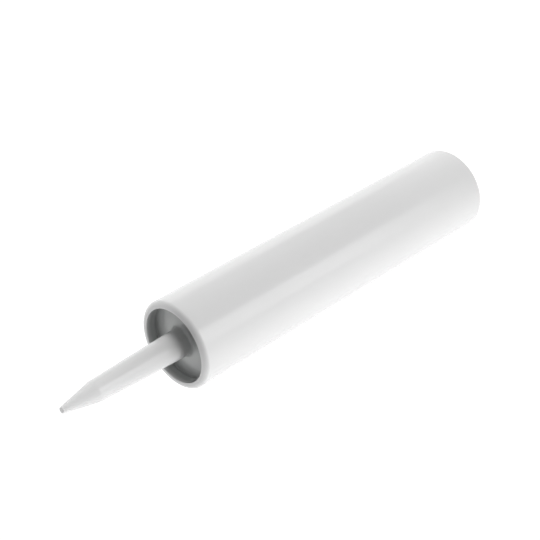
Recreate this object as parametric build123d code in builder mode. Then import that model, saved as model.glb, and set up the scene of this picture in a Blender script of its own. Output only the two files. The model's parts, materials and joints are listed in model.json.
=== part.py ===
"""Empty dispensing cartridge: a moulded barrel with an integral nozzle, and the plunger that slides inside it.

The cartridge stands on its open rear end. The origin is the centre of that end, +Z runs along the barrel
to the nozzle, and all lengths are millimetres.
"""
import os

from build123d import *

# Tube
barrel_diameter = 49.5
barrel_length = 222.5        # rear end to the face of the front rim
barrel_wall = 1.5
lead_in_width = 0.4          # flare of the bore's mouth, on the radius
lead_in_length = 2.0

# Front rim and the head recessed inside it
rim_thickness = 3.85         # on the radius
rim_outer_round = 2.7
rim_inner_chamfer = 0.5
recess_depth = 6.5           # rim face to the head
head_thickness = 2.2
head_inner_chamfer = 1.0     # inside corner between the bore and the head

# Nozzle: a slow taper from the head to the shoulder, then a steep taper to the closed tip
nozzle_root_diameter = 15.6
nozzle_root_round = 1.8
nozzle_body_length = 57.5    # head to shoulder
nozzle_shoulder_diameter = 11.5
nozzle_shoulder_round = 6.0
nozzle_cone_length = 20.0    # shoulder to tip
nozzle_tip_diameter = 3.3
nozzle_tip_chamfer = 0.4
nozzle_wall = 1.5
nozzle_tip_wall = 2.0        # closed end, cut off by the user
passage_tip_diameter = 1.6
passage_entry_chamfer = 1.0

# Plunger: a cup with a crowned front, a wiper lip, a guide ring and a pocket for the push rod
plunger_setback = 8.0        # rear end of the barrel to the plunger, at rest
plunger_wall = 1.6
pocket_depth = 14.0
pocket_mouth_chamfer = 0.5
ledge_width = 2.0            # seat for the push rod's disc, on the radius
core_depth = 6.0             # ledge to the back of the front wall
front_wall = 2.0
crown_rise = 4.0
crown_diameter = 22.0
lip_edge = 0.6
lip_land = 0.8
lip_height = 5.0
ring_height = 3.0
ring_taper = 1.5
ring_edge_chamfer = 0.4
skirt_relief = 1.2           # skirt behind the lip and the ring, on the radius
rib_count = 6
rib_thickness = 1.4
hub_diameter = 12.0

# Clearances
lip_clearance = 0.08         # wiper lip and guide ring to the bore, on the radius
lip_head_clearance = 0.3     # lip edge to the chamfer in the head's corner, at the end of the stroke

# Barrel stations and radii
barrel_radius = barrel_diameter / 2
bore_radius = barrel_radius - barrel_wall
rim_inner_radius = barrel_radius - rim_thickness
head_outer_z = barrel_length - recess_depth
head_inner_z = head_outer_z - head_thickness
nozzle_root_radius = nozzle_root_diameter / 2
nozzle_shoulder_radius = nozzle_shoulder_diameter / 2
nozzle_tip_radius = nozzle_tip_diameter / 2
shoulder_z = head_outer_z + nozzle_body_length
tip_z = shoulder_z + nozzle_cone_length
passage_root_radius = nozzle_root_radius - nozzle_wall
passage_shoulder_radius = nozzle_shoulder_radius - nozzle_wall
passage_tip_radius = passage_tip_diameter / 2
passage_end_z = tip_z - nozzle_tip_wall

# Plunger stations and radii
lip_radius = bore_radius - lip_clearance
skirt_radius = lip_radius - skirt_relief
pocket_radius = skirt_radius - plunger_wall
core_radius = pocket_radius - ledge_width
hub_radius = hub_diameter / 2
rib_inner_radius = hub_radius - rib_thickness / 2
rib_outer_radius = core_radius + ledge_width / 2
crown_radius = crown_diameter / 2
plunger_rear_z = plunger_setback
ring_top_z = plunger_rear_z + ring_height
ledge_z = plunger_rear_z + pocket_depth
wall_back_z = ledge_z + core_depth
lip_root_z = wall_back_z + front_wall
crown_z = lip_root_z + crown_rise
lip_edge_z = crown_z - head_inner_chamfer - lip_head_clearance


def corner(profile, radius, height):
    """The corner of a profile that lies at a radius and a height."""
    return profile.vertices().sort_by_distance((radius, height))[0]


# Barrel: the outside is turned in one profile, then the chamber and the nozzle's passage are cut from it
with BuildPart() as barrel:
    with BuildSketch(Plane.XZ) as outside:
        with BuildLine():
            Polyline(
                (0, 0),
                (barrel_radius, 0),
                (barrel_radius, barrel_length),
                (rim_inner_radius, barrel_length),
                (rim_inner_radius, head_outer_z),
                (nozzle_root_radius, head_outer_z),
                (nozzle_shoulder_radius, shoulder_z),
                (nozzle_tip_radius, tip_z),
                (0, tip_z),
                close=True,
            )
        make_face()
        fillet(corner(outside, barrel_radius, barrel_length), rim_outer_round)
        chamfer(corner(outside, rim_inner_radius, barrel_length), rim_inner_chamfer)
        fillet(corner(outside, nozzle_root_radius, head_outer_z), nozzle_root_round)
        fillet(corner(outside, nozzle_shoulder_radius, shoulder_z), nozzle_shoulder_round)
        chamfer(corner(outside, nozzle_tip_radius, tip_z), nozzle_tip_chamfer)
    revolve(axis=Axis.Z)

    with BuildSketch(Plane.XZ) as inside:
        with BuildLine():
            Polyline(
                (0, 0),
                (bore_radius + lead_in_width, 0),
                (bore_radius, lead_in_length),
                (bore_radius, head_inner_z),
                (passage_root_radius, head_inner_z),
                (passage_shoulder_radius, shoulder_z),
                (passage_tip_radius, passage_end_z),
                (0, passage_end_z),
                close=True,
            )
        make_face()
        chamfer(corner(inside, bore_radius, head_inner_z), head_inner_chamfer)
        chamfer(corner(inside, passage_root_radius, head_inner_z), passage_entry_chamfer)
    revolve(axis=Axis.Z, mode=Mode.SUBTRACT)

# Plunger: a turned cup, stiffened behind its front wall by a hub and radial ribs
with BuildPart() as plunger:
    with BuildSketch(Plane.XZ) as section:
        with BuildLine():
            Polyline(
                (0, crown_z),
                (crown_radius, crown_z),
                (pocket_radius, lip_root_z),
                (lip_radius - lip_edge, lip_edge_z),
                (lip_radius, lip_edge_z),
                (lip_radius, lip_edge_z - lip_land),
                (skirt_radius, lip_edge_z - lip_height),
                (skirt_radius, ring_top_z + ring_taper),
                (lip_radius, ring_top_z),
                (lip_radius, plunger_rear_z),
                (pocket_radius, plunger_rear_z),
                (pocket_radius, ledge_z),
                (core_radius, ledge_z),
                (core_radius, wall_back_z),
                (0, wall_back_z),
                close=True,
            )
        make_face()
        chamfer(corner(section, lip_radius, plunger_rear_z), ring_edge_chamfer)
        chamfer(corner(section, pocket_radius, plunger_rear_z), pocket_mouth_chamfer)
    revolve(axis=Axis.Z)

    with BuildSketch(Plane.XY.offset(ledge_z)):
        Circle(hub_radius)
        with PolarLocations((rib_inner_radius + rib_outer_radius) / 2, rib_count):
            Rectangle(rib_outer_radius - rib_inner_radius, rib_thickness)
        Circle(hub_radius - rib_thickness, mode=Mode.SUBTRACT)
    extrude(amount=core_depth)

os.makedirs("parts", exist_ok=True)
barrel.part.label = "barrel"
plunger.part.label = "plunger"
export_step(barrel.part, "parts/barrel.step")
export_step(plunger.part, "parts/plunger.step")
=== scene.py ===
"""Empty dispensing cartridge in the studio: the moulded barrel with its nozzle, and the plunger inside.

Lengths are metres in the part's own frame: the origin is the centre of the barrel's open rear end, and
+Z runs along the barrel to the nozzle's tip. Each piece is drawn as half of its section, then spun round
that axis.
"""
import json
import math

import bmesh
import bpy
from mathutils import Matrix, Vector


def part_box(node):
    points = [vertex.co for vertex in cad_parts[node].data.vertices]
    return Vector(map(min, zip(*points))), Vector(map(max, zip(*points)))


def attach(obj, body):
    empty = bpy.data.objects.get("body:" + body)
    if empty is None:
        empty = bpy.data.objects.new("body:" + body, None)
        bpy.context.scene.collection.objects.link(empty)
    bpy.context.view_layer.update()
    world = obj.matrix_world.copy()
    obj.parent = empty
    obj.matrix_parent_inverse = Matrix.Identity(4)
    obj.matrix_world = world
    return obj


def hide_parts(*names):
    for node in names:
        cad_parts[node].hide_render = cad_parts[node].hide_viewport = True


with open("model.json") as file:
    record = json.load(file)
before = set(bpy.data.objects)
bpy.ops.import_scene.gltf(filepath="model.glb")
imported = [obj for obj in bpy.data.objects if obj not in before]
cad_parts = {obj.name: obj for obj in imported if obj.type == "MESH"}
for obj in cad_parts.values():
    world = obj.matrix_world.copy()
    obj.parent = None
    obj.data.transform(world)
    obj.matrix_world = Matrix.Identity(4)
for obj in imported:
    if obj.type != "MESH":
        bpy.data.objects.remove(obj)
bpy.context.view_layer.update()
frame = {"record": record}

MM = 0.001
mounts = {mount["name"]: mount for mount in frame["record"]["mounts"]}
barrel_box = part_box("barrel")
plunger_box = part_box("plunger")

# Barrel, from the rear end to the tip
BARREL_RADIUS = mounts["barrel_outside"]["dims"]["r_mm"] * MM
RIM_Z = mounts["front_rim"]["pos_m"][2]
TIP_Z = barrel_box[1].z
BARREL_WALL = 1.5 * MM
LEAD_IN_WIDTH = 0.4 * MM
LEAD_IN_LENGTH = 2.0 * MM
RIM_THICKNESS = 3.85 * MM
RECESS_DEPTH = 6.5 * MM
HEAD_THICKNESS = 2.2 * MM
NOZZLE_ROOT_RADIUS = 7.8 * MM
NOZZLE_BODY_LENGTH = 57.5 * MM
NOZZLE_SHOULDER_RADIUS = 5.75 * MM
NOZZLE_TIP_RADIUS = 1.65 * MM
NOZZLE_WALL = 1.5 * MM
NOZZLE_TIP_WALL = 2.0 * MM
PASSAGE_TIP_RADIUS = 0.8 * MM

# Rounds of the barrel's corners
TIP_ROUND = 0.45 * MM
SHOULDER_ROUND = 6.0 * MM
ROOT_ROUND = 1.8 * MM
RECESS_CORNER_ROUND = 0.25 * MM
RIM_INNER_ROUND = 0.5 * MM
RIM_OUTER_ROUND = 2.7 * MM
REAR_EDGE_ROUND = 0.3 * MM
LEAD_IN_ROUND = 0.25 * MM
HEAD_CORNER_ROUND = 1.0 * MM
PASSAGE_ENTRY_ROUND = 1.0 * MM
PASSAGE_END_ROUND = 0.3 * MM

# Plunger, from its rear edge to its crown
PLUNGER_REAR_Z = plunger_box[0].z
CROWN_Z = plunger_box[1].z
LIP_RADIUS = plunger_box[1].x
POCKET_RADIUS = mounts["push_pocket"]["dims"]["r_mm"] * MM
PLUNGER_WALL = 1.6 * MM
POCKET_DEPTH = 14.0 * MM
LEDGE_WIDTH = 2.0 * MM
CORE_DEPTH = 6.0 * MM
FRONT_WALL = 2.0 * MM
CROWN_RADIUS = 11.0 * MM
LIP_EDGE = 0.6 * MM
LIP_LAND = 0.8 * MM
LIP_HEIGHT = 5.0 * MM
LIP_DROP = 1.3 * MM
RING_HEIGHT = 3.0 * MM
RING_TAPER = 1.5 * MM
HUB_RADIUS = 6.0 * MM
RIB_THICKNESS = 1.4 * MM
RIB_COUNT = 6

# Rounds of the plunger's corners
CROWN_ROUND = 3.0 * MM
LIP_GROOVE_ROUND = 0.6 * MM
LIP_EDGE_ROUND = 0.15 * MM
LIP_ROOT_ROUND = 1.5 * MM
RING_ROUND = 0.4 * MM
POCKET_MOUTH_ROUND = 0.5 * MM
LEDGE_ROUND = 0.3 * MM
HUB_ROUND = 0.3 * MM

# Fineness of the meshes
TURN_STEPS = 192
ROUND_SEGMENTS = 8
RIB_ROUND_SEGMENTS = 4
LONGEST_RUN = 12 * MM
MERGE_DISTANCE = 0.001 * MM
SMOOTH_ANGLE = math.radians(30)

# Finish of the moulded plastic, with the scales of its patterns per metre
CLOUD_SCALE = 28.0
CLOUD_DETAIL = 3.0
DRAW_LINE_SCALE = 420.0
DRAW_LINE_DETAIL = 2.0
DRAW_LINE_STRETCH = (1.0, 1.0, 0.03)
SKIN_SCALE = 2400.0
SKIN_DETAIL = 2.0
SKIN_SHARE = 0.35
PLASTIC_IOR = 1.54
RELIEF_STRENGTH = 0.03
BARREL_COLOUR = (0.69, 0.69, 0.69, 1)
BARREL_CLOUD_COLOUR = (0.67, 0.67, 0.67, 1)
BARREL_ROUGHNESS = (0.14, 0.17)
BARREL_RELIEF = 0.02 * MM
PLUNGER_COLOUR = (0.82, 0.82, 0.80, 1)
PLUNGER_CLOUD_COLOUR = (0.79, 0.79, 0.77, 1)
PLUNGER_ROUGHNESS = (0.42, 0.52)
PLUNGER_RELIEF = 0.03 * MM

# Painted shade in the recess inside the rim, as greys fitted to the photograph's tones: it sets in between
# two depths below the rim, fades out at the nozzle's root, and is darkest at the head's outer edge
RECESS_SHADE_START = 0.5 * MM
RECESS_SHADE_END = 3.0 * MM
ROOT_SHADE_INSET = 0.2 * MM
ROOT_SHADE_WIDTH = 0.6 * MM
# Painted shade on the head of the recess
RECESS_PAINTED_SHADE = (0.36, 0.369, 0.366, 1)
HEAD_SHADE_INNER_RADIUS = 10.0 * MM
HEAD_SHADE_OUTER_RADIUS = 17.0 * MM
# Painted shade, darker, at the head's outer edge by the recess corner
HEAD_EDGE_PAINTED_SHADE = (0.285, 0.292, 0.29, 1)
WALL_SHADE_HEIGHT = 1.5 * MM
# Painted shade on the recess wall, lighter than the head
RECESS_WALL_PAINTED_SHADE = (0.44, 0.45, 0.446, 1)

# Floor and surround
WHITE = (1, 1, 1, 1)
SURROUND_WHITE = 1.0
WORLD_LIGHT = 0.09
FLOOR_SIZE = 6.0
FLOOR_COLOUR = (0.86, 0.86, 0.86, 1)
FLOOR_ROUGHNESS = 0.9
FLOOR_WHITE_SHARE = 0.8
FLOOR_WHITE = 1.2
FLOOR_GLOW = 1.15

# Lamps, with bearings in degrees from +X
FRONT_LAMP_BEARING = -130
FRONT_LAMP_DISTANCE = 0.55
FRONT_LAMP_HEIGHT = 0.14
FRONT_LAMP_SIZE = (0.4, 0.26)
FRONT_LAMP_POWER = 0.75
SIDE_LAMP_DISTANCE = 1.0
SIDE_LAMP_HEIGHT = 0.14
SIDE_LAMP_SIZE = (1.2, 0.3)
LEFT_LAMP_BEARING = 182
LEFT_LAMP_POWER = 5.5
RIGHT_LAMP_BEARING = -5
RIGHT_LAMP_POWER = 6.25
HIGH_LAMP_AIM = Vector((0, 0, RIM_Z))
TOP_LAMP_PLACE = Vector((0, 0, 1.7))
TOP_LAMP_SIZE = (1.4, 1.4)
TOP_LAMP_POWER = 5.0
BACK_LAMP_PLACE = Vector((-0.184, 1.046, 1.534))
BACK_LAMP_SIZE = (1.2, 1.0)
BACK_LAMP_POWER = 14.5
NOZZLE_SPOT_PLACES = (Vector((0.35, -0.9, 0.45)), Vector((-0.55, -0.8, 0.45)))
NOZZLE_SPOT_AIM = Vector((0, 0, 0.288))
NOZZLE_SPOT_ANGLE = math.radians(3.6)
NOZZLE_SPOT_BLEND = 1.0
NOZZLE_SPOT_RADIUS = 0.02
NOZZLE_SPOT_POWER = 3.0

# Cards that show in the barrel's sheen, with bearings and angles in degrees
CARD_CORNERS = 4
CARD_LENGTH = 1.6
CARD_HEIGHT = 0.0005
DARK_CARD_CORNER = (0.0003, -0.0201)
DARK_CARD_BEARING = -36.4
DARK_CARD_ANGLE = 100
DARK_CARD_GLOW = 0.25
DARK_CARD_FADE = (0.02, 0.12)
BRIGHT_CARD_CORNER = (-0.0002, -0.0128)
BRIGHT_CARD_BEARING = -106.4
BRIGHT_CARD_ANGLE = 32
BRIGHT_CARD_GLOW = 2.2
BRIGHT_CARD_FADE = (0.03, 0.18)

# Camera, as solved from the photograph's perspective
CAMERA_PLACE = Vector((0, -0.568832, 0.557226))
CAMERA_AIM = Vector((0.009833, -0.000170, 0.146104))
CAMERA_ROLL = math.radians(119.26)
CAMERA_LENS = 86.15
CAMERA_SENSOR = 36.0


def select_only(piece):
    """Selects one piece and makes it the active one."""
    bpy.ops.object.select_all(action="DESELECT")
    piece.select_set(True)
    bpy.context.view_layer.objects.active = piece


def draw_outline(name, points):
    """A new piece, in edit mode, that holds a chain of edges through (radius, height) points."""
    bpy.ops.object.select_all(action="DESELECT")
    bpy.ops.mesh.primitive_plane_add(size=MM, location=(points[0][0], 0, points[0][1]))
    bpy.ops.object.transform_apply(location=True, rotation=False, scale=False)
    piece = bpy.context.object
    piece.name = name
    piece.data.name = name
    bpy.ops.object.mode_set(mode="EDIT")
    bpy.ops.mesh.select_mode(type="VERT")
    bpy.ops.mesh.merge(type="CENTER")
    for (radius, height), (next_radius, next_height) in zip(points, points[1:]):
        step = (next_radius - radius, 0, next_height - height)
        bpy.ops.mesh.extrude_vertices_move(TRANSFORM_OT_translate={"value": step})
    return piece


def select_corner(piece, corner):
    """Selects the outline's point nearest to a (radius, height), and returns the angle it turns by there."""
    bpy.ops.mesh.select_all(action="DESELECT")
    mesh = bmesh.from_edit_mesh(piece.data)
    place = Vector((corner[0], 0, corner[1]))
    point = min(mesh.verts, key=lambda v: (v.co - place).length)
    point.select_set(True)
    bmesh.update_edit_mesh(piece.data)
    before, after = (edge.other_vert(point).co for edge in point.link_edges)
    return math.pi - (before - point.co).angle(after - point.co)


def round_corners(piece, rounds):
    """Rounds the outline's corners, each given as ((radius, height), radius of the round)."""
    for corner, radius in rounds:
        turn = select_corner(piece, corner)
        setback = radius * math.tan(turn / 2)
        bpy.ops.mesh.bevel(offset=setback, segments=ROUND_SEGMENTS, affect="VERTICES")


def divide_runs(piece):
    """Divides the outline's long straight runs, so that the spun faces aren't slivers."""
    mesh = bmesh.from_edit_mesh(piece.data)
    counts = {int(edge.calc_length() / LONGEST_RUN) for edge in mesh.edges}
    for cuts in sorted(counts - {0}):
        bpy.ops.mesh.select_all(action="DESELECT")
        mesh = bmesh.from_edit_mesh(piece.data)
        for edge in mesh.edges:
            edge.select_set(int(edge.calc_length() / LONGEST_RUN) == cuts)
        bmesh.update_edit_mesh(piece.data)
        bpy.ops.mesh.subdivide(number_cuts=cuts)


def spin_outline():
    """Spins the outline once round the axis, closes its seam and poles, and leaves edit mode."""
    bpy.ops.mesh.select_all(action="SELECT")
    bpy.ops.mesh.spin(steps=TURN_STEPS, angle=2 * math.pi, center=(0, 0, 0), axis=(0, 0, 1))
    bpy.ops.mesh.select_all(action="SELECT")
    bpy.ops.mesh.remove_doubles(threshold=MERGE_DISTANCE)
    bpy.ops.mesh.normals_make_consistent(inside=False)
    bpy.ops.object.mode_set(mode="OBJECT")


def smooth_faces(piece):
    """Shades the rounds smooth, and keeps the flats and the long walls true beside them."""
    select_only(piece)
    bpy.ops.object.shade_smooth_by_angle(angle=SMOOTH_ANGLE)
    bpy.ops.object.modifier_add(type="WEIGHTED_NORMAL")
    piece.modifiers[-1].keep_sharp = True
    bpy.ops.object.modifier_apply(modifier=piece.modifiers[-1].name)


def make_barrel():
    """The tube, its rounded front rim, the recessed head and the hollow nozzle, as one moulding."""
    bore = BARREL_RADIUS - BARREL_WALL
    rim_inner = BARREL_RADIUS - RIM_THICKNESS
    head_outer_z = RIM_Z - RECESS_DEPTH
    head_inner_z = head_outer_z - HEAD_THICKNESS
    shoulder_z = head_outer_z + NOZZLE_BODY_LENGTH
    tip = (NOZZLE_TIP_RADIUS, TIP_Z)
    shoulder = (NOZZLE_SHOULDER_RADIUS, shoulder_z)
    root = (NOZZLE_ROOT_RADIUS, head_outer_z)
    recess_corner = (rim_inner, head_outer_z)
    rim_inner_edge = (rim_inner, RIM_Z)
    rim_outer_edge = (BARREL_RADIUS, RIM_Z)
    rear_edge = (BARREL_RADIUS, 0)
    mouth = (bore + LEAD_IN_WIDTH, 0)
    lead_in_end = (bore, LEAD_IN_LENGTH)
    head_corner = (bore, head_inner_z)
    passage_entry = (NOZZLE_ROOT_RADIUS - NOZZLE_WALL, head_inner_z)
    passage_shoulder = (NOZZLE_SHOULDER_RADIUS - NOZZLE_WALL, shoulder_z)
    passage_end = (PASSAGE_TIP_RADIUS, TIP_Z - NOZZLE_TIP_WALL)
    piece = draw_outline("barrel_moulding", [
        (0, TIP_Z), tip, shoulder, root, recess_corner, rim_inner_edge, rim_outer_edge, rear_edge, mouth,
        lead_in_end, head_corner, passage_entry, passage_shoulder, passage_end, (0, passage_end[1]),
    ])
    round_corners(piece, [
        (tip, TIP_ROUND),
        (shoulder, SHOULDER_ROUND),
        (root, ROOT_ROUND),
        (recess_corner, RECESS_CORNER_ROUND),
        (rim_inner_edge, RIM_INNER_ROUND),
        (rim_outer_edge, RIM_OUTER_ROUND),
        (rear_edge, REAR_EDGE_ROUND),
        (mouth, LEAD_IN_ROUND),
        (head_corner, HEAD_CORNER_ROUND),
        (passage_entry, PASSAGE_ENTRY_ROUND),
        (passage_end, PASSAGE_END_ROUND),
    ])
    divide_runs(piece)
    spin_outline()
    smooth_faces(piece)
    return piece


def make_rib(name, start, end, depth, rear_z):
    """One radial rib on the +X side, between two radii: a bar with its two long rear edges rounded."""
    bpy.ops.object.select_all(action="DESELECT")
    bpy.ops.mesh.primitive_cube_add(
        size=1,
        location=((start + end) / 2, 0, rear_z + depth / 2),
        scale=(end - start, RIB_THICKNESS, depth),
    )
    bpy.ops.object.transform_apply(location=True, rotation=False, scale=True)
    rib = bpy.context.object
    rib.name = name
    bpy.ops.object.mode_set(mode="EDIT")
    bpy.ops.mesh.select_mode(type="EDGE")
    bpy.ops.mesh.select_all(action="DESELECT")
    mesh = bmesh.from_edit_mesh(rib.data)
    for edge in mesh.edges:
        ends = [vert.co for vert in edge.verts]
        low = all(abs(point.z - rear_z) < MERGE_DISTANCE for point in ends)
        edge.select_set(low and abs(ends[0].y - ends[1].y) < MERGE_DISTANCE)
    bmesh.update_edit_mesh(rib.data)
    bpy.ops.mesh.bevel(offset=HUB_ROUND, segments=RIB_ROUND_SEGMENTS, affect="EDGES")
    bpy.ops.object.mode_set(mode="OBJECT")
    return rib


def copy_round_axis(first, count):
    """Copies a piece evenly round the axis and joins the copies to it."""
    ring = [first]
    for index in range(1, count):
        select_only(first)
        bpy.ops.object.duplicate()
        turn = 2 * math.pi * index / count
        bpy.ops.transform.rotate(value=turn, orient_axis="Z", center_override=(0, 0, 0))
        bpy.ops.object.transform_apply(location=True, rotation=True, scale=False)
        ring.append(bpy.context.object)
    select_only(first)
    for copy in ring:
        copy.select_set(True)
    bpy.ops.object.join()
    return first


def fuse(piece, addition):
    """Fuses another closed shape to a piece."""
    select_only(piece)
    bpy.ops.object.modifier_add(type="BOOLEAN")
    union = piece.modifiers[-1]
    union.operation = "UNION"
    union.solver = "EXACT"
    union.object = addition
    bpy.ops.object.modifier_apply(modifier=union.name)
    bpy.data.objects.remove(addition)


def make_plunger():
    """The cup that slides in the bore: crowned front, wiper lip, guide ring, and a ribbed pocket behind."""
    skirt = POCKET_RADIUS + PLUNGER_WALL
    core = POCKET_RADIUS - LEDGE_WIDTH
    ledge_z = PLUNGER_REAR_Z + POCKET_DEPTH
    wall_back_z = ledge_z + CORE_DEPTH
    lip_edge_z = CROWN_Z - LIP_DROP
    ring_top_z = PLUNGER_REAR_Z + RING_HEIGHT
    hub_bore = HUB_RADIUS - RIB_THICKNESS
    crown_edge = (CROWN_RADIUS, CROWN_Z)
    groove = (POCKET_RADIUS, wall_back_z + FRONT_WALL)
    lip_inner = (LIP_RADIUS - LIP_EDGE, lip_edge_z)
    lip_outer = (LIP_RADIUS, lip_edge_z)
    land_end = (LIP_RADIUS, lip_edge_z - LIP_LAND)
    lip_root = (skirt, lip_edge_z - LIP_HEIGHT)
    ring_root = (skirt, ring_top_z + RING_TAPER)
    ring_top = (LIP_RADIUS, ring_top_z)
    ring_rear = (LIP_RADIUS, PLUNGER_REAR_Z)
    pocket_mouth = (POCKET_RADIUS, PLUNGER_REAR_Z)
    ledge_corner = (POCKET_RADIUS, ledge_z)
    ledge_edge = (core, ledge_z)
    core_corner = (core, wall_back_z)
    hub_root = (HUB_RADIUS, wall_back_z)
    hub_edge = (HUB_RADIUS, ledge_z)
    hub_bore_edge = (hub_bore, ledge_z)
    hub_bore_end = (hub_bore, wall_back_z)
    piece = draw_outline("plunger_moulding", [
        (0, CROWN_Z), crown_edge, groove, lip_inner, lip_outer, land_end, lip_root, ring_root, ring_top,
        ring_rear, pocket_mouth, ledge_corner, ledge_edge, core_corner, hub_root, hub_edge, hub_bore_edge,
        hub_bore_end, (0, wall_back_z),
    ])
    round_corners(piece, [
        (crown_edge, CROWN_ROUND),
        (groove, LIP_GROOVE_ROUND),
        (lip_inner, LIP_EDGE_ROUND),
        (lip_outer, LIP_EDGE_ROUND),
        (lip_root, LIP_ROOT_ROUND),
        (ring_root, RING_ROUND),
        (ring_top, RING_ROUND),
        (ring_rear, RING_ROUND),
        (pocket_mouth, POCKET_MOUTH_ROUND),
        (ledge_corner, LEDGE_ROUND),
        (ledge_edge, LEDGE_ROUND),
        (hub_edge, HUB_ROUND),
        (hub_bore_edge, HUB_ROUND),
    ])
    divide_runs(piece)
    spin_outline()
    rib_start = HUB_RADIUS - RIB_THICKNESS / 2
    rib_end = core + LEDGE_WIDTH / 2
    rib_depth = CORE_DEPTH + FRONT_WALL / 2
    rib = make_rib("plunger_ribs", rib_start, rib_end, rib_depth, ledge_z)
    fuse(piece, copy_round_axis(rib, RIB_COUNT))
    smooth_faces(piece)
    return piece


def combine(tree, operation, first, second):
    """The result of a math operation on two sockets."""
    node = tree.nodes.new("ShaderNodeMath")
    node.operation = operation
    tree.links.new(first, node.inputs[0])
    tree.links.new(second, node.inputs[1])
    return node.outputs["Value"]


def map_range(tree, value, start=0.0, end=1.0, low=0.0, high=1.0):
    """A node that goes from low to high while a socket's value goes from start to end."""
    node = tree.nodes.new("ShaderNodeMapRange")
    node.inputs["From Min"].default_value = start
    node.inputs["From Max"].default_value = end
    node.inputs["To Min"].default_value = low
    node.inputs["To Max"].default_value = high
    tree.links.new(value, node.inputs["Value"])
    return node


def mix_colours(tree, factor):
    """A node that mixes two colours: A where a socket's value is 0, and B where it is 1."""
    node = tree.nodes.new("ShaderNodeMix")
    node.data_type = "RGBA"
    tree.links.new(factor, node.inputs["Factor"])
    return node


def noise(tree, place, scale, detail):
    """A noise pattern over the coordinates of a socket."""
    node = tree.nodes.new("ShaderNodeTexNoise")
    node.inputs["Scale"].default_value = scale
    node.inputs["Detail"].default_value = detail
    tree.links.new(place, node.inputs["Vector"])
    return node.outputs["Fac"]


def add_socket(group, name, direction, kind):
    """Adds a named input or output to a node group."""
    group.interface.new_socket(name, in_out=direction, socket_type=kind)


def moulded_plastic_group():
    """Shared finish of moulded plastic: cloudy tint, draw lines along the axis, and fine skin texture."""
    group = bpy.data.node_groups.new("moulded_plastic", "ShaderNodeTree")
    add_socket(group, "Colour", "INPUT", "NodeSocketColor")
    add_socket(group, "Cloud colour", "INPUT", "NodeSocketColor")
    add_socket(group, "Roughness low", "INPUT", "NodeSocketFloat")
    add_socket(group, "Roughness high", "INPUT", "NodeSocketFloat")
    add_socket(group, "Colour", "OUTPUT", "NodeSocketColor")
    add_socket(group, "Roughness", "OUTPUT", "NodeSocketFloat")
    add_socket(group, "Height", "OUTPUT", "NodeSocketFloat")
    nodes = group.nodes
    links = group.links
    values = nodes.new("NodeGroupInput")
    result = nodes.new("NodeGroupOutput")
    place = nodes.new("ShaderNodeTexCoord").outputs["Object"]
    stretch = nodes.new("ShaderNodeMapping")
    stretch.inputs["Scale"].default_value = DRAW_LINE_STRETCH
    links.new(place, stretch.inputs["Vector"])
    clouds = noise(group, place, CLOUD_SCALE, CLOUD_DETAIL)
    draw_lines = noise(group, stretch.outputs["Vector"], DRAW_LINE_SCALE, DRAW_LINE_DETAIL)
    skin = noise(group, place, SKIN_SCALE, SKIN_DETAIL)

    tint = mix_colours(group, clouds)
    links.new(values.outputs["Colour"], tint.inputs["A"])
    links.new(values.outputs["Cloud colour"], tint.inputs["B"])
    links.new(tint.outputs["Result"], result.inputs["Colour"])

    gloss = map_range(group, draw_lines)
    links.new(values.outputs["Roughness low"], gloss.inputs["To Min"])
    links.new(values.outputs["Roughness high"], gloss.inputs["To Max"])
    links.new(gloss.outputs["Result"], result.inputs["Roughness"])

    relief = nodes.new("ShaderNodeMath")
    relief.operation = "MULTIPLY_ADD"
    relief.inputs[1].default_value = SKIN_SHARE
    links.new(skin, relief.inputs[0])
    links.new(draw_lines, relief.inputs[2])
    links.new(relief.outputs["Value"], result.inputs["Height"])
    return group


def plastic_material(name, group, colour, cloud_colour, roughness, relief):
    """A moulded plastic: the shared finish with this piece's own colours, gloss and depth of relief."""
    material = bpy.data.materials.new(name)
    material.use_nodes = True
    nodes = material.node_tree.nodes
    links = material.node_tree.links
    shader = nodes["Principled BSDF"]
    shader.inputs["IOR"].default_value = PLASTIC_IOR
    finish = nodes.new("ShaderNodeGroup")
    finish.node_tree = group
    finish.inputs["Colour"].default_value = colour
    finish.inputs["Cloud colour"].default_value = cloud_colour
    finish.inputs["Roughness low"].default_value = roughness[0]
    finish.inputs["Roughness high"].default_value = roughness[1]
    bump = nodes.new("ShaderNodeBump")
    bump.inputs["Strength"].default_value = RELIEF_STRENGTH
    bump.inputs["Distance"].default_value = relief
    links.new(finish.outputs["Colour"], shader.inputs["Base Color"])
    links.new(finish.outputs["Roughness"], shader.inputs["Roughness"])
    links.new(finish.outputs["Height"], bump.inputs["Height"])
    links.new(bump.outputs["Normal"], shader.inputs["Normal"])
    return material


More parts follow.
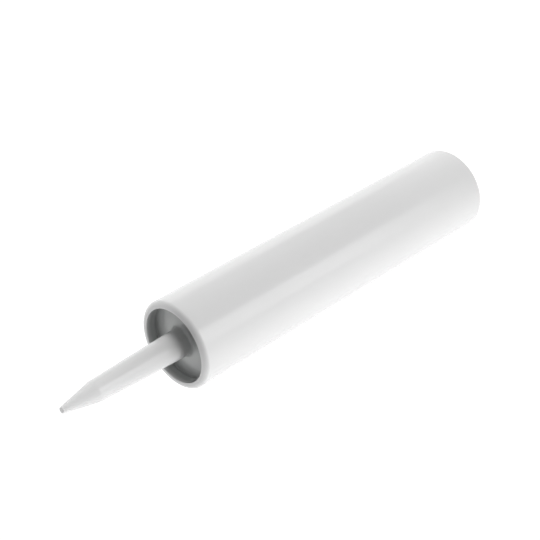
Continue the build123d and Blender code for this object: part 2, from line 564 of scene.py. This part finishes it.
def shade_recess(material):
    """Paints shade into the recess inside the rim: darkest at the edge of the head, lighter up the wall."""
    tree = material.node_tree
    nodes = tree.nodes
    links = tree.links
    head_z = RIM_Z - RECESS_DEPTH
    rim_inner = BARREL_RADIUS - RIM_THICKNESS
    root_edge = NOZZLE_ROOT_RADIUS - ROOT_SHADE_INSET
    place = nodes.new("ShaderNodeTexCoord").outputs["Object"]
    axes = nodes.new("ShaderNodeSeparateXYZ")
    links.new(place, axes.inputs["Vector"])
    height = axes.outputs["Z"]
    flat = nodes.new("ShaderNodeVectorMath")
    flat.operation = "MULTIPLY"
    flat.inputs[1].default_value = (1, 1, 0)
    links.new(place, flat.inputs[0])
    length = nodes.new("ShaderNodeVectorMath")
    length.operation = "LENGTH"
    links.new(flat.outputs["Vector"], length.inputs[0])
    radius = length.outputs["Value"]

    inside = nodes.new("ShaderNodeMath")
    inside.operation = "LESS_THAN"
    inside.inputs[1].default_value = rim_inner + RIM_INNER_ROUND
    links.new(radius, inside.inputs[0])
    below = map_range(tree, height, RIM_Z - RECESS_SHADE_END, RIM_Z - RECESS_SHADE_START, 1.0, 0.0)
    clear = map_range(tree, radius, root_edge, root_edge + ROOT_SHADE_WIDTH)
    ring = combine(tree, "MULTIPLY", inside.outputs["Value"], clear.outputs["Result"])
    mask = combine(tree, "MULTIPLY", below.outputs["Result"], ring)

    # Painted shade: darker towards the head's outer edge, lighter on the wall above the corner
    edge = map_range(tree, radius, HEAD_SHADE_INNER_RADIUS, HEAD_SHADE_OUTER_RADIUS)
    edge.interpolation_type = "SMOOTHSTEP"
    head_painted_shade = mix_colours(tree, edge.outputs["Result"])
    head_painted_shade.inputs["A"].default_value = RECESS_PAINTED_SHADE
    head_painted_shade.inputs["B"].default_value = HEAD_EDGE_PAINTED_SHADE
    rise = map_range(tree, height, head_z, head_z + WALL_SHADE_HEIGHT)
    grey = mix_colours(tree, rise.outputs["Result"])
    grey.inputs["B"].default_value = RECESS_WALL_PAINTED_SHADE
    links.new(head_painted_shade.outputs["Result"], grey.inputs["A"])

    # The painted shade takes the place of the plastic's colour inside the recess
    base = nodes["Principled BSDF"].inputs["Base Color"]
    shade = mix_colours(tree, mask)
    links.new(base.links[0].from_socket, shade.inputs["A"])
    links.new(grey.outputs["Result"], shade.inputs["B"])
    links.new(shade.outputs["Result"], base)


def dress(piece, material, body, node):
    """Gives a piece its material, and puts it in the place of a CAD node."""
    piece.data.materials.clear()
    piece.data.materials.append(material)
    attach(piece, body)
    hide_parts(node)


def seen_directly(tree):
    """A mask that is 1 for camera, mirror and glass rays, and 0 for the rays that carry light."""
    rays = tree.nodes.new("ShaderNodeLightPath").outputs
    seen = combine(tree, "MAXIMUM", rays["Is Camera Ray"], rays["Is Glossy Ray"])
    return combine(tree, "MAXIMUM", seen, rays["Is Transmission Ray"])


def make_floor():
    """A wide white floor that still takes the object's shadow."""
    bpy.ops.object.select_all(action="DESELECT")
    bpy.ops.mesh.primitive_plane_add(size=FLOOR_SIZE, location=(0, 0, 0))
    floor = bpy.context.object
    floor.name = "floor"
    material = bpy.data.materials.new("floor_white")
    material.use_nodes = True
    tree = material.node_tree
    nodes = tree.nodes
    links = tree.links
    paint = nodes["Principled BSDF"]
    paint.inputs["Base Color"].default_value = FLOOR_COLOUR
    paint.inputs["Roughness"].default_value = FLOOR_ROUGHNESS
    strength = map_range(tree, seen_directly(tree), low=FLOOR_GLOW / FLOOR_WHITE_SHARE, high=FLOOR_WHITE)
    white = nodes.new("ShaderNodeEmission")
    links.new(strength.outputs["Result"], white.inputs["Strength"])
    mix = nodes.new("ShaderNodeMixShader")
    mix.inputs["Fac"].default_value = FLOOR_WHITE_SHARE
    links.new(paint.outputs["BSDF"], mix.inputs[1])
    links.new(white.outputs["Emission"], mix.inputs[2])
    links.new(mix.outputs["Shader"], nodes["Material Output"].inputs["Surface"])
    floor.data.materials.append(material)


def make_world():
    """Dim light from all round, with a white surround for what is seen directly."""
    world = bpy.data.worlds.new("studio")
    bpy.context.scene.world = world
    world.use_nodes = True
    tree = world.node_tree
    level = map_range(tree, seen_directly(tree), low=WORLD_LIGHT, high=SURROUND_WHITE)
    background = tree.nodes["Background"]
    background.inputs["Color"].default_value = WHITE
    tree.links.new(level.outputs["Result"], background.inputs["Strength"])


def hang_lamp(name, data, place, aim):
    """Hangs a lamp that lights the object, but shows neither directly nor in the object's sheen."""
    lamp = bpy.data.objects.new(name, data)
    bpy.context.scene.collection.objects.link(lamp)
    lamp.location = place
    lamp.rotation_euler = (aim - place).to_track_quat("-Z", "Y").to_euler()
    lamp.visible_camera = False
    lamp.visible_glossy = False


def area_lamp(name, place, aim, size, power):
    """A soft box, with its size as (width, height)."""
    data = bpy.data.lights.new(name, "AREA")
    data.shape = "RECTANGLE"
    data.size = size[0]
    data.size_y = size[1]
    data.energy = power
    hang_lamp(name, data, place, aim)


def low_lamp(name, bearing, distance, height, size, power):
    """A soft box that stands beside the object, with its middle below the rim."""
    angle = math.radians(bearing)
    foot = distance * Vector((math.cos(angle), math.sin(angle), 0))
    level = Vector((0, 0, height))
    area_lamp(name, foot + level, level, size, power)


def nozzle_spot(name, place):
    """A narrow spot on the nozzle's cone, which passes above the rim."""
    data = bpy.data.lights.new(name, "SPOT")
    data.spot_size = NOZZLE_SPOT_ANGLE
    data.spot_blend = NOZZLE_SPOT_BLEND
    data.shadow_soft_size = NOZZLE_SPOT_RADIUS
    data.energy = NOZZLE_SPOT_POWER
    hang_lamp(name, data, place, NOZZLE_SPOT_AIM)


def sheen_card(name, corner, bearing, angle, glow, fade_radii):
    """A wedge on the floor that shows only in the barrel's sheen: a band that fades out at the rear end."""
    reach = CARD_LENGTH / 2
    middle = math.radians(bearing)
    bpy.ops.object.select_all(action="DESELECT")
    bpy.ops.mesh.primitive_circle_add(vertices=CARD_CORNERS, radius=reach, fill_type="NGON")
    card = bpy.context.object
    card.name = name
    card.scale = (math.tan(math.radians(angle) / 2), 1, 1)
    card.rotation_euler = (0, 0, middle - math.pi / 2)
    card.location = (
        corner[0] + reach * math.cos(middle),
        corner[1] + reach * math.sin(middle),
        CARD_HEIGHT,
    )
    material = bpy.data.materials.new(name)
    material.use_nodes = True
    tree = material.node_tree
    nodes = tree.nodes
    links = tree.links
    place = nodes.new("ShaderNodeNewGeometry")
    radius = nodes.new("ShaderNodeVectorMath")
    radius.operation = "LENGTH"
    links.new(place.outputs["Position"], radius.inputs[0])
    distance = radius.outputs["Value"]
    fade = map_range(tree, distance, fade_radii[0], fade_radii[1], SURROUND_WHITE, glow)
    white = nodes.new("ShaderNodeEmission")
    links.new(fade.outputs["Result"], white.inputs["Strength"])
    links.new(white.outputs["Emission"], nodes["Material Output"].inputs["Surface"])
    card.data.materials.append(material)
    card.visible_camera = False
    card.visible_diffuse = False
    card.visible_transmission = False
    card.visible_shadow = False


def make_camera():
    """The photograph's view, with its roll."""
    data = bpy.data.cameras.new("photo_view")
    data.lens = CAMERA_LENS
    data.sensor_width = CAMERA_SENSOR
    camera = bpy.data.objects.new("photo_view", data)
    bpy.context.scene.collection.objects.link(camera)
    camera.location = CAMERA_PLACE
    level = (CAMERA_AIM - CAMERA_PLACE).to_track_quat("-Z", "Y").to_matrix()
    camera.rotation_euler = (level @ Matrix.Rotation(-CAMERA_ROLL, 3, "Z")).to_euler()
    bpy.context.scene.camera = camera


# The cartridge
barrel = make_barrel()
plunger = make_plunger()
finish_group = moulded_plastic_group()
barrel_plastic = plastic_material(
    "barrel_plastic", finish_group, BARREL_COLOUR, BARREL_CLOUD_COLOUR, BARREL_ROUGHNESS, BARREL_RELIEF)
shade_recess(barrel_plastic)
plunger_plastic = plastic_material(
    "plunger_plastic", finish_group, PLUNGER_COLOUR, PLUNGER_CLOUD_COLOUR, PLUNGER_ROUGHNESS, PLUNGER_RELIEF)
dress(barrel, barrel_plastic, "barrel", "barrel")
dress(plunger, plunger_plastic, "plunger", "plunger")

# The studio
make_floor()
make_world()
sheen_card(
    "dark_card", DARK_CARD_CORNER, DARK_CARD_BEARING, DARK_CARD_ANGLE, DARK_CARD_GLOW, DARK_CARD_FADE)
sheen_card(
    "bright_card", BRIGHT_CARD_CORNER, BRIGHT_CARD_BEARING, BRIGHT_CARD_ANGLE, BRIGHT_CARD_GLOW,
    BRIGHT_CARD_FADE)
low_lamp(
    "front_lamp", FRONT_LAMP_BEARING, FRONT_LAMP_DISTANCE, FRONT_LAMP_HEIGHT, FRONT_LAMP_SIZE,
    FRONT_LAMP_POWER)
low_lamp(
    "left_lamp", LEFT_LAMP_BEARING, SIDE_LAMP_DISTANCE, SIDE_LAMP_HEIGHT, SIDE_LAMP_SIZE,
    LEFT_LAMP_POWER)
low_lamp(
    "right_lamp", RIGHT_LAMP_BEARING, SIDE_LAMP_DISTANCE, SIDE_LAMP_HEIGHT, SIDE_LAMP_SIZE,
    RIGHT_LAMP_POWER)
area_lamp("back_lamp", BACK_LAMP_PLACE, HIGH_LAMP_AIM, BACK_LAMP_SIZE, BACK_LAMP_POWER)
for number, place in enumerate(NOZZLE_SPOT_PLACES, 1):
    nozzle_spot(f"nozzle_spot_{number}", place)
area_lamp("top_lamp", TOP_LAMP_PLACE, HIGH_LAMP_AIM, TOP_LAMP_SIZE, TOP_LAMP_POWER)
make_camera()
bpy.context.scene.view_settings.view_transform = "Standard"
